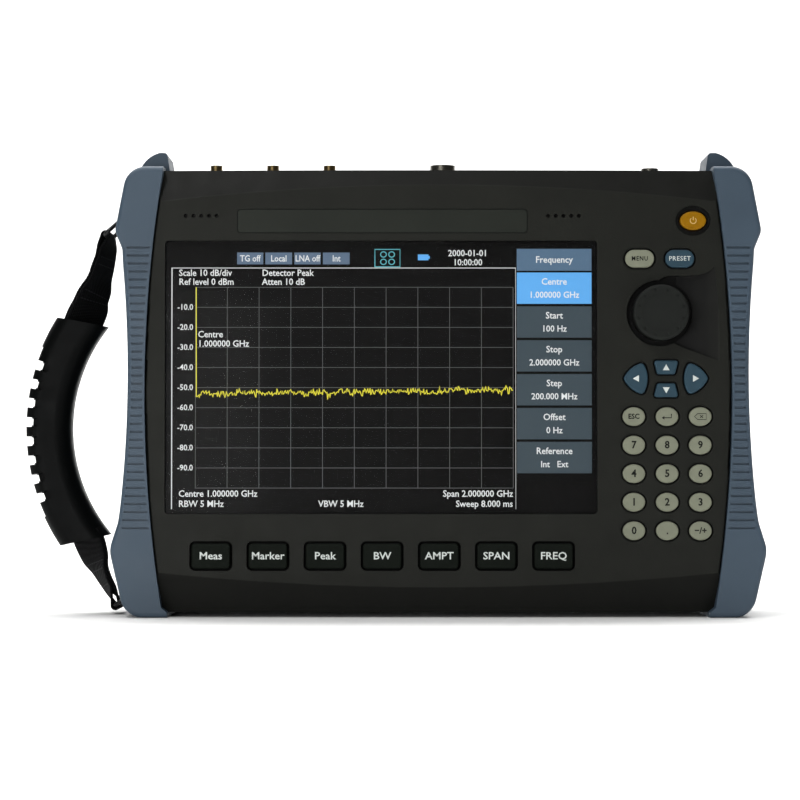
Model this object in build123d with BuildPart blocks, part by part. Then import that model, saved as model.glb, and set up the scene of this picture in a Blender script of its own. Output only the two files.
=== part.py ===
from build123d import *
import os
from math import atan2, cos, radians, sin, sqrt

# A portable spectrum analyzer. It stands upright on the feet of its two side bumpers.
# +X is to the user's right, +Y runs from the front panel to the back, +Z is up.
# The origin is the centre of the case's flat underside. All sizes are in millimetres.

os.makedirs("parts", exist_ok=True)

# ------------------------------------------------------------------ driving dimensions

# case
case_height = 227.0
side_radius = 700.0          # both side walls bow outwards on this radius
side_mid_height = 113.0      # the height where the case is widest
mid_half_width = 150.4
front_y = -38.0
rear_y = 38.0
split_y = -18.0              # where the front panel meets the rear case
wall = 3.0
corner_cut = 2.6             # cut at the case's lower side corners, filled by the feet
flat_half_width = 138.6      # half width of the flat underside

# front panel
panel_inner_y = front_y + wall
deep_cavity_y = -30.0
board_zone_bottom = 16.0
board_zone_top = 208.0
top_band_z = 219.0
top_band_radius = 1190.0
bottom_band_z = 13.1
bottom_band_radius = 1390.0
band_slope = 0.35            # how far the bands fall back for each millimetre of height

# screen
window_width, window_height = 221.5, 140.2
window_x, window_z = -29.35, 120.4
window_corner = 2.0
glass_gap = 0.1
glass_thickness = 1.8
glass_front_y = -37.2
lcd_width, lcd_height, lcd_depth = 224.0, 146.0, 5.0
lcd_x, lcd_z = -29.3, 119.5
bracket_gauge = 1.0

# name plate and speaker holes
plate_width, plate_height, plate_corner = 149.1, 12.5, 2.0
plate_x, plate_z = -28.65, 200.55
plate_recess, plate_gauge = 0.7, 0.5
speaker_hole_radius, speaker_pitch, speaker_hole_count = 1.0, 3.97, 5
speaker_z = 203.2
speaker_centres_x = (plate_x - 92.9, plate_x + 92.9)

# keys
key_gap = 0.95
arrow_gap = 0.9
soft_gap = 1.2
flange_overlap = 0.45        # how far a key's flange reaches behind the panel
flange_front_y = panel_inner_y + 0.1
flange_thickness = 0.9
cap_rise = 1.3
cap_edge = 0.8
round_key_size = (11.5, 9.6)
pill_key_size = (14.8, 9.1)
soft_key_size = (19.6, 12.8)
power_key_size = (13.3, 9.5)
power_recess_size = (18.0, 15.4)
power_recess_depth = 1.5
power_x, power_z = 130.7, 200.7
keypad_columns = (100.0, 117.0, 134.0)
keypad_rows = (100.2, 85.6, 71.0, 56.4, 41.8)
soft_key_x0, soft_key_pitch, soft_key_z = -116.3, 29.2, 28.9
pad_x, pad_z = 116.6, 119.7

# keypad membrane and board
membrane_front_y = -32.0
membrane_thickness = 1.0
dome_height = 0.85
board_thickness = 1.6

# tuning knob
knob_x, knob_z = 113.5, 153.2
knob_radius = 14.3
knob_front_y, knob_back_y = -47.0, -35.0
knob_skirt_radius, knob_hollow_depth = 11.5, 6.0
knob_dimple_count, knob_dimple_circle = 12, 11.7
well_radius, well_depth = 17.0, 4.5
shaft_radius, bushing_radius = 3.0, 3.5
shaft_clearance = 0.05

# top connector well
well_x0, well_x1 = -131.0, 125.0
well_y0, well_y1 = -14.0, 26.0
well_floor = 215.5
connector_y = 6.0
top_plate_gauge = 2.0
n_x = 3.0
n_thread_radius = 7.94
n_tip = 234.0
sma_x = (-117.0, -87.0, -57.0)
sma_thread_radius = 3.175
sma_tip = 234.0
usb_x = (70.0, 88.0)
inlet_x = 113.0

# back: battery and stand
door_x, door_z0, door_z1 = 66.0, 26.0, 122.0
door_gauge = 2.5
battery_half, battery_z0, battery_z1 = 56.0, 33.0, 115.0
battery_front_y, battery_back_y = 13.0, 34.0
stand_x, stand_bar = 78.5, 8.0
stand_depth = 6.0
stand_pivot_y, stand_pivot_z = 34.8, 150.0
stand_bottom = 9.5
stand_groove_floor = 31.0
stand_pin_radius = 1.5

# bumpers
foot_z = -2.6
bumper_half_depth = 40.0
bumper_top = 228.7
bumper_edge = 2.6
horn_top = 237.6
horn_front_y, horn_back_y = -22.0, 10.0
rib_pitch, rib_count = 4.1, 36
rib_z = 115.0
rib_width, rib_depth = 1.1, 0.9
rib_field_low, rib_field_high, rib_field_inset = 42.5, 187.5, 1.2
nub_radius, nub_height = 0.8, 0.3
nubs = ((152.8, 53.3), (150.6, 177.0))

# strap
strap_axis_x = -157.5
recess_back = 150.5
strap_recesses = ((182.0, 219.0, 180.0, 221.0), (2.0, 22.0, -1.0, 24.0))   # recess low, high; pin low, high
strap_pin_radius = 2.0
ring_wire = 1.1
ring_tilt_top, ring_reach_top, ring_z_top = 45.0, 23.0, 212.0
ring_tilt_low, ring_reach_low, ring_z_low = 32.0, 12.5, 9.0
grip_x, grip_z = -106.4, 94.6
grip_inner, grip_outer = 85.8, 110.4
grip_half_depth = 11.0
grip_top_angle, grip_low_angle = 35.2, -37.2
grip_end_slant = 3.3         # the grip's inner edge runs on past its outer edge by twice this angle
collar_top_angle, collar_low_angle = 23.0, -25.0
tooth_radius, groove_radius = 109.1, 105.8
groove_count, groove_pitch, groove_middle = 8, 5.35, -0.9
groove_width = 5.0
mouth_wall, mouth_half_depth, mouth_angle = 3.3, 7.4, 7.0

# screws
case_bosses = ((-136.0, 216.0), (136.0, 216.0), (-136.0, 11.0), (136.0, 11.0), (-96.0, 11.0), (96.0, 11.0))
boss_radius = 4.4
screw_radius, screw_head_radius = 1.5, 2.8
screw_hole_gap = 0.06
door_screws_xz = ((-61.5, 36.0), (61.5, 36.0), (-61.5, 112.0), (61.5, 112.0))


# ------------------------------------------------------------------ helpers

def save(built, node):
    """Labels a finished piece and writes its STEP file."""
    built.part.label = node
    export_step(built.part, f"parts/{node}.step")


def at_y(y):
    """Upright plane facing the front, with local x to the right and local y up."""
    return Plane(origin=(0, y, 0), x_dir=(1, 0, 0), z_dir=(0, -1, 0))


def block(x0, x1, y0, y1, z0, z1, mode=Mode.ADD):
    """Box given by its two corners."""
    with Locations(((x0 + x1) / 2, (y0 + y1) / 2, (z0 + z1) / 2)):
        Box(x1 - x0, y1 - y0, z1 - z0, mode=mode)


def half_width(z, inset=0.0):
    """Half the case's width at height z, with its side walls moved in by inset."""
    return mid_half_width - side_radius + sqrt((side_radius - inset) ** 2 - (z - side_mid_height) ** 2)


def case_section(inset=0.0):
    """The case's section: flat top and bottom, bowed sides, cut lower corners."""
    low, cut, top = inset, corner_cut + inset, case_height - inset
    foot = flat_half_width - inset * 0.4
    with BuildSketch(Plane.XY) as section:
        with BuildLine():
            Line((-foot, low), (foot, low))
            Line((foot, low), (half_width(cut, inset), cut))
            ThreePointArc((half_width(cut, inset), cut), (mid_half_width - inset, side_mid_height),
                          (half_width(top, inset), top))
            Line((half_width(top, inset), top), (-half_width(top, inset), top))
            ThreePointArc((-half_width(top, inset), top), (-mid_half_width + inset, side_mid_height),
                          (-half_width(cut, inset), cut))
            Line((-half_width(cut, inset), cut), (-foot, low))
        make_face()
    return section.sketch


outer_section = case_section()
inner_section = case_section(inset=wall)


# ------------------------------------------------------------------ key outlines

def round_outline(grow=0.0):
    Ellipse(round_key_size[0] / 2 + grow, round_key_size[1] / 2 + grow)


def power_outline(grow=0.0):
    Ellipse(power_key_size[0] / 2 + grow, power_key_size[1] / 2 + grow)


def pill_outline(grow=0.0):
    SlotOverall(pill_key_size[0] + 2 * grow, pill_key_size[1] + 2 * grow)


def soft_outline(grow=0.0):
    RectangleRounded(soft_key_size[0] + 2 * grow, soft_key_size[1] + 2 * grow, 1.8 + grow)


def arrow_wedge(direction, grow):
    """Trapezoid key above or below the pad's centre, wider on its outer side."""
    half_height, inner, outer = 3.55 + grow, 4.5 + grow, 6.4 + grow
    Polygon((-inner, -direction * half_height), (inner, -direction * half_height),
            (outer, direction * half_height), (-outer, direction * half_height), align=None)


def arrow_shield(direction, grow):
    """Rounded three-sided key beside the pad's centre, pointing outwards."""
    tip, back, bulge = (6.2 + grow) * direction, -(3.6 + grow) * direction, -(6.2 + grow) * direction
    corner, waist_x, waist_z = 8.1 + grow, (2.1 + grow * 0.6) * direction, 5.3 + grow * 0.8
    with BuildSketch(Plane.XY) as shield:
        with BuildLine():
            ThreePointArc((back, -corner), (bulge, 0), (back, corner))
            ThreePointArc((back, corner), (waist_x, waist_z), (tip, 0))
            ThreePointArc((tip, 0), (waist_x, -waist_z), (back, -corner))
        make_face()
    add(shield.sketch)


def up_outline(grow=0.0):
    arrow_wedge(1, grow)


def down_outline(grow=0.0):
    arrow_wedge(-1, grow)


def left_outline(grow=0.0):
    arrow_shield(-1, grow)


def right_outline(grow=0.0):
    arrow_shield(1, grow)


def key_sketch(outline, grow, corner):
    """A key's outline, grown evenly for its opening in the panel or for its flange."""
    with BuildSketch(Plane.XY) as sketch:
        outline(grow)
        if corner:
            fillet(vertices(), radius=corner + grow)
    return sketch.sketch


# every key: node name, outline, centre, gap round the cap, corner rounding
keys = [
    ("power_button", power_outline, power_x, power_z, key_gap, 0),
    ("menu_key", pill_outline, 103.2, 181.1, 1.0, 0),
    ("preset_key", pill_outline, 123.7, 181.1, 1.0, 0),
    ("arrow_up_key", up_outline, pad_x, pad_z + 5.7, arrow_gap, 1.3),
    ("arrow_down_key", down_outline, pad_x, pad_z - 6.0, arrow_gap, 1.3),
    ("arrow_left_key", left_outline, pad_x - 15.6, pad_z, arrow_gap, 2.0),
    ("arrow_right_key", right_outline, pad_x + 15.35, pad_z, arrow_gap, 2.0),
]
keypad_names = (
    ("key_escape", "key_enter", "key_backspace"),
    ("key_7", "key_8", "key_9"),
    ("key_4", "key_5", "key_6"),
    ("key_1", "key_2", "key_3"),
    ("key_0", "key_point", "key_sign"),
)
for row_z, row_names in zip(keypad_rows, keypad_names):
    for column_x, key_name in zip(keypad_columns, row_names):
        keys.append((key_name, round_outline, column_x, row_z, key_gap, 0))
for index in range(7):
    soft_x = soft_key_x0 + index * soft_key_pitch
    keys.append((f"soft_key_{index + 1}", soft_outline, soft_x, soft_key_z, soft_gap, 0))


key_openings = [(key_sketch(outline, gap, corner), x, z) for node, outline, x, z, gap, corner in keys]

# ------------------------------------------------------------------ front panel

# finger scoop beside the knob: its floor ramps up to the panel's surface on the right
with BuildPart() as scoop:
    with BuildSketch(at_y(front_y + well_depth)):
        with BuildLine(Location((knob_x, knob_z, 0))):
            rim = Spline((0, well_radius), (15.1, 19.2), (28.2, 24.1), tangents=((1, 0.02), (1, 0.55)))
            Polyline(rim @ 1, (33.0, -25.4), (12.4, -17.8), (0, -12.0), (0, well_radius))
        make_face()
    extrude(amount=well_depth + 2)
    ramp_start = (knob_x + 9.0, front_y + well_depth, 0)
    ramp_tilt = atan2(well_depth, 21.5)
    split(bisect_by=Plane(origin=ramp_start, x_dir=(cos(ramp_tilt), -sin(ramp_tilt), 0),
                          z_dir=(-sin(ramp_tilt), -cos(ramp_tilt), 0)), keep=Keep.TOP)

with BuildPart() as front_panel:
    with BuildSketch(at_y(split_y)):
        add(outer_section)
    extrude(amount=split_y - front_y)
    front_rim = faces().sort_by(Axis.Y)[0].edges().filter_by(GeomType.CIRCLE)
    fillet(front_rim, radius=1.5)

    # the panel falls back along its top and bottom edges, on two very large circles
    reach = 40.0
    with BuildSketch(Plane.YZ):
        Polygon((front_y - 1, top_band_z - 1 / band_slope), (front_y - 1, top_band_z + reach),
                (front_y + band_slope * reach, top_band_z + reach), align=None)
    revolve(axis=Axis((0, 0, top_band_z - top_band_radius), (0, 1, 0)), mode=Mode.SUBTRACT)
    with BuildSketch(Plane.YZ):
        Polygon((front_y - 1, bottom_band_z + 1 / band_slope), (front_y - 1, bottom_band_z - reach),
                (front_y + band_slope * reach, bottom_band_z - reach), align=None)
    revolve(axis=Axis((0, 0, bottom_band_z + bottom_band_radius), (0, 1, 0)), mode=Mode.SUBTRACT)

    # hollow, shallower at the top and bottom where the bands fall back
    with BuildSketch(at_y(split_y)):
        add(inner_section)
    extrude(amount=split_y - deep_cavity_y, mode=Mode.SUBTRACT)
    with BuildSketch(at_y(deep_cavity_y)):
        add(inner_section)
        with Locations((0, (board_zone_bottom + board_zone_top) / 2)):
            Rectangle(400, board_zone_top - board_zone_bottom, mode=Mode.INTERSECT)
    extrude(amount=deep_cavity_y - panel_inner_y, mode=Mode.SUBTRACT)

    # thicker wall behind the knob
    block(94.5, 145.0, panel_inner_y, panel_inner_y + 4, 131.5, 174.5)

    # knob well, finger scoop and the hole for the encoder's bushing
    with BuildSketch(at_y(front_y)):
        with Locations((knob_x, knob_z)):
            Circle(well_radius)
    extrude(amount=-well_depth, mode=Mode.SUBTRACT)
    add(scoop.part, mode=Mode.SUBTRACT)
    with BuildSketch(at_y(front_y)):
        with Locations((knob_x, knob_z)):
            Circle(bushing_radius + 0.1)
    extrude(amount=-wall - 5, mode=Mode.SUBTRACT)

    # screen window
    with BuildSketch(at_y(front_y)):
        with Locations((window_x, window_z)):
            RectangleRounded(window_width, window_height, window_corner)
    extrude(amount=-wall, mode=Mode.SUBTRACT)

    # recess for the name plate and dish round the power button
    with BuildSketch(at_y(front_y)):
        with Locations((plate_x, plate_z)):
            RectangleRounded(plate_width, plate_height, plate_corner)
    extrude(amount=-plate_recess, mode=Mode.SUBTRACT)
    with BuildSketch(at_y(front_y)):
        with Locations((power_x, power_z)):
            Ellipse(power_recess_size[0] / 2, power_recess_size[1] / 2)
    extrude(amount=-power_recess_depth, mode=Mode.SUBTRACT)

    # speaker holes
    with BuildSketch(at_y(front_y)):
        for centre_x in speaker_centres_x:
            with Locations((centre_x, speaker_z)):
                with GridLocations(speaker_pitch, 0, speaker_hole_count, 1):
                    Circle(speaker_hole_radius)
    extrude(amount=-wall, mode=Mode.SUBTRACT)

    # key openings
    for opening, x, z in key_openings:
        with BuildSketch(at_y(front_y)):
            with Locations((x, z)):
                add(opening)
        extrude(amount=-wall, mode=Mode.SUBTRACT)

    # bosses for the case screws
    with BuildSketch(at_y(split_y)):
        with Locations(*case_bosses):
            Circle(boss_radius)
    extrude(amount=split_y - deep_cavity_y)
    with BuildSketch(at_y(split_y)):
        with Locations(*case_bosses):
            Circle(screw_radius + screw_hole_gap)
    extrude(amount=10, mode=Mode.SUBTRACT)
save(front_panel, "front_panel")

# ------------------------------------------------------------------ rear case

with BuildPart() as rear_case:
    with BuildSketch(at_y(rear_y)):
        add(outer_section)
    extrude(amount=rear_y - split_y)
    rear_rim = faces().sort_by(Axis.Y)[-1].edges()
    chamfer(rear_rim, length=1.5)
    with BuildSketch(at_y(rear_y - wall)):
        add(inner_section)
    extrude(amount=rear_y - wall - split_y, mode=Mode.SUBTRACT)

    # walls of the connector well, the battery compartment and the stand's groove
    block(well_x0 - wall, well_x1 + wall, well_y0 - wall, well_y1 + wall, well_floor - wall, case_height - 1)
    block(-door_x - 3, door_x + 3, 10, rear_y - 1, door_z0 - 3, door_z1 + 3)
    for side in (-1, 1):
        groove_x = side * stand_x
        block(groove_x - 8.5, groove_x + 8.5, 28, rear_y - 1, 3, stand_pivot_z + 10)
    block(-stand_x, stand_x, 28, rear_y - 1, 1.5, 23)

    # screw bosses and board posts
    with BuildSketch(at_y(rear_y - 1)):
        with Locations(*case_bosses):
            Circle(boss_radius + 0.6)
    extrude(amount=rear_y - 1 - split_y)
    with BuildSketch(at_y(rear_y - 1)):
        with Locations((-112, 60), (112, 60), (-112, 190), (112, 190)):
            Circle(3.5)
    extrude(amount=rear_y - 1 + 10.4)

    # connector well with a ledge for the top plate
    block(well_x0, well_x1, well_y0, well_y1, well_floor, case_height + 1, mode=Mode.SUBTRACT)
    block(well_x0 + 4, well_x1 - 4, well_y0 + 4, well_y1 - 4, well_floor - 5, well_floor + 1,
          mode=Mode.SUBTRACT)

    # battery compartment, seat for its door
    block(-door_x - 0.2, door_x + 0.2, rear_y - door_gauge, rear_y + 1, door_z0 - 0.2, door_z1 + 0.2,
          mode=Mode.SUBTRACT)
    block(-battery_half - 1, battery_half + 1, battery_front_y - 0.5, rear_y, battery_z0 - 1, battery_z1 + 1,
          mode=Mode.SUBTRACT)
    with BuildSketch(at_y(rear_y)):
        with Locations(*door_screws_xz):
            Circle(screw_radius + screw_hole_gap)
    extrude(amount=door_gauge + 9, mode=Mode.SUBTRACT)

    # groove for the stand, with a finger notch above its foot bar
    for side in (-1, 1):
        groove_x = side * stand_x
        block(groove_x - 5.5, groove_x + 5.5, stand_groove_floor, rear_y + 1, stand_bottom - 1.5,
              stand_pivot_z + 4.5, mode=Mode.SUBTRACT)
    block(-stand_x, stand_x, stand_groove_floor, rear_y + 1, stand_bottom - 1.5, stand_bottom + stand_bar + 1.5,
          mode=Mode.SUBTRACT)
    block(-13, 13, stand_groove_floor, rear_y + 1, stand_bottom + stand_bar, door_z0 - 1.5, mode=Mode.SUBTRACT)

    # bores for the stand's pins
    for side in (-1, 1):
        with BuildSketch(Plane(origin=(side * stand_x, stand_pivot_y, stand_pivot_z), z_dir=(1, 0, 0))):
            Circle(stand_pin_radius + 0.02)
        extrude(amount=7.6, both=True, mode=Mode.SUBTRACT)

    # case screws: wide bore down to the head's seat, then a clearance hole
    with BuildSketch(at_y(rear_y + 1)):
        with Locations(*case_bosses):
            Circle(screw_head_radius + 0.4)
    extrude(amount=rear_y + 1 + 8, mode=Mode.SUBTRACT)
    with BuildSketch(at_y(rear_y)):
        with Locations(*case_bosses):
            Circle(screw_radius + 0.2)
    extrude(amount=rear_y - split_y, mode=Mode.SUBTRACT)

    # cooling slots
    with BuildSketch(at_y(rear_y)):
        with Locations((0, 190)):
            with GridLocations(8, 17, 13, 2):
                SlotOverall(12, 2.4, rotation=90)
    extrude(amount=wall + 1, mode=Mode.SUBTRACT)
save(rear_case, "rear_case")

# ------------------------------------------------------------------ bumpers

# outer edge of the right bumper: foot, lower bulge, waist, upper bulge, rounded shoulder
with BuildSketch(Plane.XY) as bumper_section:
    with BuildLine():
        FilletPolyline((flat_half_width, foot_z), (160.4, foot_z), (168.4, 32.0), (163.8, 46.5), (162.5, 57.0),
                       radius=[12, 14, 28])
        ThreePointArc((162.5, 57.0), (159.2, 116.0), (161.7, 178.0))
        FilletPolyline((161.7, 178.0), (162.1, 186.2), (165.9, 195.4), (159.6, bumper_top),
                       (half_width(case_height), bumper_top), radius=[6, 7, 11.5])
        Line((half_width(case_height), bumper_top), (half_width(case_height), case_height))
        ThreePointArc((half_width(case_height), case_height), (mid_half_width, side_mid_height),
                      (half_width(corner_cut), corner_cut))
        Line((half_width(corner_cut), corner_cut), (flat_half_width, 0))
        Line((flat_half_width, 0), (flat_half_width, foot_z))
    make_face()

# field of ribs on the bumper's face
with BuildSketch(Plane.XY) as rib_field:
    with Locations((155, rib_z)):
        with GridLocations(0, rib_pitch, 1, rib_count):
            Rectangle(30, rib_width)
    low, high, inset = rib_field_low, rib_field_high, rib_field_inset
    with BuildLine():
        ThreePointArc((half_width(low) + inset, low), (mid_half_width + inset, side_mid_height),
                      (half_width(high) + inset, high))
        Line((half_width(high) + inset, high), (159.6, high))
        ThreePointArc((159.6, high), (157.0, 116), (161.8, low))
        Line((161.8, low), (half_width(low) + inset, low))
    make_face(mode=Mode.INTERSECT)

with BuildPart() as right_bumper:
    with BuildSketch(at_y(0)):
        add(bumper_section.sketch)
    extrude(amount=bumper_half_depth, both=True)
    for end in (0, -1):
        rim = faces().sort_by(Axis.Y)[end].edges().sort_by(Axis.X)[1:]
        outer_rim = [edge for edge in rim if edge.center().X > 152 or abs(edge.center().Z - 113) > 115]
        fillet(outer_rim, radius=bumper_edge)

    # horn guarding the connectors, leaning in over the case's top
    with BuildSketch(at_y(horn_front_y)):
        with BuildLine():
            Polyline((155.6, case_height - 4), (146.0, case_height - 4), (146.0, case_height),
                     (139.0, case_height), (140.6, horn_top), (144.4, horn_top))
            ThreePointArc((144.4, horn_top), (151.6, 233.4), (155.6, case_height - 4))
        make_face()
    extrude(amount=horn_front_y - horn_back_y)
    horn_edges = edges().filter_by(Axis.Y).sort_by(Axis.Z)[-2:]
    fillet(horn_edges, radius=1.8)

    # hollow behind the ribbed face, open towards the case
    with BuildSketch(at_y(0)):
        with BuildLine():
            ThreePointArc((half_width(34) - 1, 34), (mid_half_width - 1, side_mid_height),
                          (half_width(172) - 1, 172))
            Polyline((half_width(172) - 1, 172), (154.5, 172), (154.5, 34), (half_width(34) - 1, 34))
        make_face()
    extrude(amount=bumper_half_depth - 4, both=True, mode=Mode.SUBTRACT)

    # ribs on the front and on the back
    for face_y, inward in ((-bumper_half_depth, -1), (bumper_half_depth, 1)):
        with BuildSketch(at_y(face_y)):
            add(rib_field.sketch)
        extrude(amount=inward * rib_depth, mode=Mode.SUBTRACT)

    # small moulding nubs at both ends of the ribs
    with BuildSketch(at_y(-bumper_half_depth)):
        with Locations(*nubs):
            Circle(nub_radius)
    extrude(amount=nub_height)

    # recesses for the strap's rings, each with an upright pin
    for recess_low, recess_high, pin_low, pin_high in strap_recesses:
        block(recess_back, 175, -21, 21, recess_low, recess_high, mode=Mode.SUBTRACT)
        with BuildSketch(Plane.XY.offset(pin_low)):
            with Locations((-strap_axis_x, 0)):
                Circle(strap_pin_radius + 0.05)
        extrude(amount=pin_high - pin_low, mode=Mode.SUBTRACT)
save(right_bumper, "right_bumper")

with BuildPart() as left_bumper:
    mirror(right_bumper.part, about=Plane.YZ)
save(left_bumper, "left_bumper")

# ------------------------------------------------------------------ screen

with BuildPart() as screen_glass:
    with BuildSketch(at_y(glass_front_y + glass_thickness)):
        with Locations((window_x, window_z)):
            RectangleRounded(window_width - 2 * glass_gap, window_height - 2 * glass_gap, window_corner)
    extrude(amount=glass_thickness)
    chamfer(faces().sort_by(Axis.Y)[0].edges(), length=0.25)
save(screen_glass, "screen_glass")

with BuildPart() as lcd_module:
    with BuildSketch(at_y(panel_inner_y + lcd_depth)):
        with Locations((lcd_x, lcd_z)):
            RectangleRounded(lcd_width, lcd_height, 1.0)
    extrude(amount=lcd_depth)
save(lcd_module, "lcd_module")

with BuildPart() as lcd_bracket:
    with BuildSketch(at_y(panel_inner_y + lcd_depth + bracket_gauge)):
        with Locations((lcd_x, lcd_z)):
            Rectangle(lcd_width, lcd_height + 3)
            with GridLocations(72, 68, 3, 2):
                RectangleRounded(60, 56, 5, mode=Mode.SUBTRACT)
    extrude(amount=bracket_gauge)
save(lcd_bracket, "lcd_bracket")

with BuildPart() as name_plate:
    with BuildSketch(at_y(front_y + plate_recess)):
        with Locations((plate_x, plate_z)):
            RectangleRounded(plate_width - 0.3, plate_height - 0.3, plate_corner)
    extrude(amount=plate_gauge)
save(name_plate, "name_plate")

with BuildPart() as speakers:
    for centre_x in speaker_centres_x:
        block(centre_x - 10, centre_x + 10, panel_inner_y, panel_inner_y + 4, speaker_z - 4.5, speaker_z + 4.5)
        with BuildSketch(at_y(panel_inner_y + 6.5)):
            with Locations((centre_x, speaker_z)):
                SlotOverall(16, 7)
        extrude(amount=2.5)
save(speakers, "speakers")

# ------------------------------------------------------------------ keys

for node, outline, x, z, gap, corner in keys:
    cap = key_sketch(outline, 0, corner)
    flange = key_sketch(outline, gap + flange_overlap, corner)
    rise = cap_rise - power_recess_depth + 0.9 if node == "power_button" else cap_rise
    with BuildPart() as key:
        with BuildSketch(at_y(flange_front_y + flange_thickness)):
            with Locations((x, z)):
                add(flange)
        extrude(amount=flange_thickness)
        with BuildSketch(at_y(flange_front_y)):
            with Locations((x, z)):
                add(cap)
        extrude(amount=flange_front_y - (front_y - rise))
        fillet(faces().sort_by(Axis.Y)[0].edges(), radius=cap_edge)
    save(key, node)

# ------------------------------------------------------------------ keypad membrane and board

with BuildSketch(Plane.XY) as board_section:
    with BuildLine():
        Polyline((-132, 17), (130, 17), (139.5, 24), (139.5, 206), (88, 206), (88, 43), (-132, 43), close=True)
    make_face()
    with Locations((117, knob_z)):
        Rectangle(47.2, 43.6, mode=Mode.SUBTRACT)

with BuildPart() as keypad_membrane:
    with BuildSketch(at_y(membrane_front_y + membrane_thickness)):
        add(board_section.sketch)
    extrude(amount=membrane_thickness)
    with BuildSketch(at_y(membrane_front_y)):
        with Locations(*[(x, z) for node, outline, x, z, gap, corner in keys]):
            Circle(2.6)
    extrude(amount=dome_height)
save(keypad_membrane, "keypad_membrane")

with BuildPart() as keypad_board:
    with BuildSketch(at_y(membrane_front_y + membrane_thickness + board_thickness)):
        add(board_section.sketch)
    extrude(amount=board_thickness)
save(keypad_board, "keypad_board")

# ------------------------------------------------------------------ tuning knob and encoder

with BuildPart() as tuning_knob:
    with BuildSketch(at_y(knob_back_y)):
        with Locations((knob_x, knob_z)):
            Circle(knob_radius)
    extrude(amount=knob_back_y - knob_front_y)
    fillet(faces().sort_by(Axis.Y)[0].edges(), radius=1.6)
    with BuildSketch(at_y(knob_back_y)):
        with Locations((knob_x, knob_z)):
            Circle(knob_skirt_radius)
            Circle(5.0, mode=Mode.SUBTRACT)
    extrude(amount=knob_hollow_depth, mode=Mode.SUBTRACT)
    with BuildSketch(at_y(knob_back_y)):
        with Locations((knob_x, knob_z)):
            Circle(5.0)
    extrude(amount=3, mode=Mode.SUBTRACT)
    with BuildSketch(at_y(knob_back_y)):
        with Locations((knob_x, knob_z)):
            Circle(shaft_radius)
    extrude(amount=9, mode=Mode.SUBTRACT)
    with BuildSketch(at_y(knob_front_y)):
        with Locations((knob_x, knob_z)):
            with PolarLocations(knob_dimple_circle, knob_dimple_count, start_angle=15):
                Circle(0.8)
    extrude(amount=-0.5, mode=Mode.SUBTRACT)
    with BuildSketch(at_y(knob_front_y)):
        with Locations((knob_x, knob_z)):
            Circle(9.6)
    extrude(amount=-0.4, taper=-30, mode=Mode.SUBTRACT)
save(tuning_knob, "tuning_knob")

with BuildPart() as encoder_shaft:
    with BuildSketch(at_y(-26.2)):
        with Locations((knob_x, knob_z)):
            Circle(shaft_radius)
    extrude(amount=44 - 26.2)
save(encoder_shaft, "encoder_shaft")

with BuildPart() as rotary_encoder:
    block(knob_x - 6.5, knob_x + 6.5, -31, -24.5, knob_z - 7, knob_z + 7)
    with BuildSketch(at_y(-31)):
        with Locations((knob_x, knob_z)):
            Circle(bushing_radius)
    extrude(amount=6)
    with BuildSketch(at_y(front_y + well_depth)):
        with Locations((knob_x, knob_z)):
            RegularPolygon(5.5, 6)
    extrude(amount=2)
    with BuildSketch(at_y(-26)):
        with Locations((knob_x, knob_z)):
            Circle(shaft_radius + shaft_clearance)
    extrude(amount=12, mode=Mode.SUBTRACT)
save(rotary_encoder, "rotary_encoder")

# ------------------------------------------------------------------ electronics

with BuildPart() as main_board:
    block(-126, 126, -12, -10.4, 28, 205)
    chips = ((-70, 150, 30, 30, 3), (-20, 95, 24, 24, 2.4), (60, 100, 38, 20, 4), (-90, 70, 20, 34, 5),
             (40, 160, 16, 16, 2))
    for part_x, part_z, width, height, rise in chips:
        block(part_x - width / 2, part_x + width / 2, -12 - rise, -12, part_z - height / 2, part_z + height / 2)
save(main_board, "main_board")

with BuildPart() as rf_module:
    block(-104, 20, -10.4, 20, 132, 208)
    chamfer(edges().filter_by(Axis.Z), length=1.0)
save(rf_module, "rf_module")

# ------------------------------------------------------------------ top plate and connectors

sockets = [(n_x, 6.1)] + [(x, 3.2) for x in sma_x] + [(inlet_x, 4.6)]

with BuildPart() as top_plate:
    block(well_x0 + 0.2, well_x1 - 0.2, well_y0 + 0.2, well_y1 - 0.2, well_floor, well_floor + top_plate_gauge)
    for socket_x, radius in sockets:
        with BuildSketch(Plane.XY.offset(well_floor)):
            with Locations((socket_x, connector_y)):
                Circle(radius)
        extrude(amount=top_plate_gauge, mode=Mode.SUBTRACT)
    for socket_x in usb_x:
        block(socket_x - 7.05, socket_x + 7.05, connector_y - 3.65, connector_y + 3.65, well_floor,
              well_floor + top_plate_gauge, mode=Mode.SUBTRACT)
save(top_plate, "top_plate")

plate_top = well_floor + top_plate_gauge


def turned(x, *steps):
    """Stack of discs on a connector's axis, each given by its radius and its two heights."""
    for radius, low, high in steps:
        with BuildSketch(Plane.XY.offset(low)) as disc:
            with Locations((x, connector_y)):
                Circle(radius)
        extrude(disc.sketch, amount=high - low)


with BuildPart() as rf_input_connector:
    turned(n_x, (6.0, 209, plate_top), (8.9, plate_top + 2, 221.5), (n_thread_radius, 221.5, n_tip - 3.5),
           (6.6, n_tip - 3.5, n_tip))
    with BuildSketch(Plane.XY.offset(plate_top)):
        with Locations((n_x, connector_y)):
            RectangleRounded(25.4, 25.4, 2.5)
    extrude(amount=2)
    with BuildSketch(Plane.XY.offset(n_tip)):
        with Locations((n_x, connector_y)):
            Circle(4.3)
            Circle(1.5, mode=Mode.SUBTRACT)
    extrude(amount=-9.5, mode=Mode.SUBTRACT)
    with BuildSketch(Plane.XY.offset(plate_top + 2)):
        with Locations((n_x, connector_y)):
            with GridLocations(18.3, 18.3, 2, 2):
                Circle(2.6)
    extrude(amount=1.3)
save(rf_input_connector, "rf_input_connector")

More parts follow.
